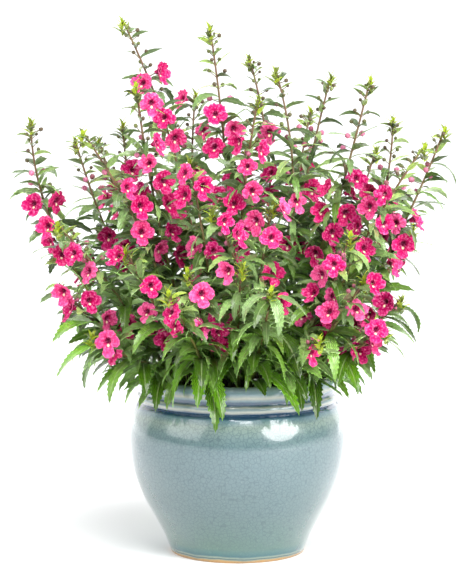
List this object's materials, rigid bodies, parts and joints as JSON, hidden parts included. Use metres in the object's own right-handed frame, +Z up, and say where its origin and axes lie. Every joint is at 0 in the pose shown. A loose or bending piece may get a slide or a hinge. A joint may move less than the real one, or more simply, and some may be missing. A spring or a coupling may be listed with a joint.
{
  "type": "potted angelonia",
  "caption": "Bushy potted angelonia with upright spires of five-lobed blooms in a round glazed pot of soil.",
  "frame": {"origin": "under the middle of the pot, on the surface that it stands on", "axes": "+Z up along the pot's axis, -Y towards the side with the most bloom, +X to that side's right"},
  "size_m": [0.4564, 0.4037, 0.552],
  "materials": {
    "glaze": "gloss",
    "soil": "matte",
    "foliage": "satin",
    "petals": "satin"
  },
  "bodies": {
    "root": {"pot": "glaze", "soil": "soil", "spire_1": "foliage", "spire_2": "foliage", "spire_3": "foliage", "spire_4": "foliage", "spire_5": "foliage", "spire_6": "foliage", "spire_7": "foliage", "spire_8": "foliage", "spire_9": "foliage", "spire_10": "foliage", "spire_11": "foliage", "spire_12": "foliage", "spire_13": "foliage", "spire_14": "foliage", "spire_15": "foliage", "spire_16": "foliage", "front_shoot_1": "foliage", "front_shoot_2": "foliage", "front_shoot_3": "foliage", "front_shoot_4": "foliage", "front_shoot_5": "foliage", "front_shoot_6": "foliage", "front_shoot_7": "foliage", "front_shoot_8": "foliage", "front_shoot_9": "foliage", "front_shoot_10": "foliage", "front_shoot_11": "foliage", "front_shoot_12": "foliage", "front_shoot_13": "foliage", "front_shoot_14": "foliage", "front_shoot_15": "foliage", "front_shoot_16": "foliage", "back_shoot_1": "foliage", "back_shoot_2": "foliage", "back_shoot_3": "foliage", "back_shoot_4": "foliage", "back_shoot_5": "foliage", "back_shoot_6": "foliage", "back_shoot_7": "foliage", "back_shoot_8": "foliage", "back_shoot_9": "foliage", "back_shoot_10": "foliage", "rim_shoot_1": "foliage", "rim_shoot_2": "foliage", "rim_shoot_3": "foliage", "rim_shoot_4": "foliage", "rim_shoot_5": "foliage", "rim_shoot_6": "foliage", "rim_shoot_7": "foliage", "rim_shoot_8": "foliage", "rim_shoot_9": "foliage"}
  },
  "joints": []
}
